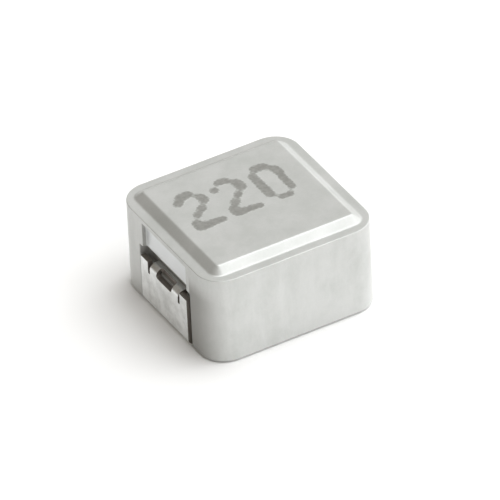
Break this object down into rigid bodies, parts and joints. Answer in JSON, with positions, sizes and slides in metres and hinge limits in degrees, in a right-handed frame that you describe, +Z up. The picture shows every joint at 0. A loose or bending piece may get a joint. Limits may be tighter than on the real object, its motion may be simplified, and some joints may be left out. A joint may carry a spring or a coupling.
{
  "type": "smd power inductor",
  "caption": "Square moulded power inductor for surface mounting, with a coil pressed into a grey powder block and a folded tinned terminal at each end.",
  "frame": {"origin": "middle of the footprint, on the board that the part stands on", "axes": "+X from terminal to terminal, +Y along the terminals' width, +Z up from the board"},
  "size_m": [0.007, 0.0066, 0.0038],
  "materials": {
    "body_coat": "satin",
    "enamelled_copper": "gloss",
    "tinned_copper": "satin"
  },
  "bodies": {
    "root": {"moulded_body": "body_coat", "coil_winding": "enamelled_copper", "terminal_left": "tinned_copper", "terminal_right": "tinned_copper"}
  },
  "joints": []
}
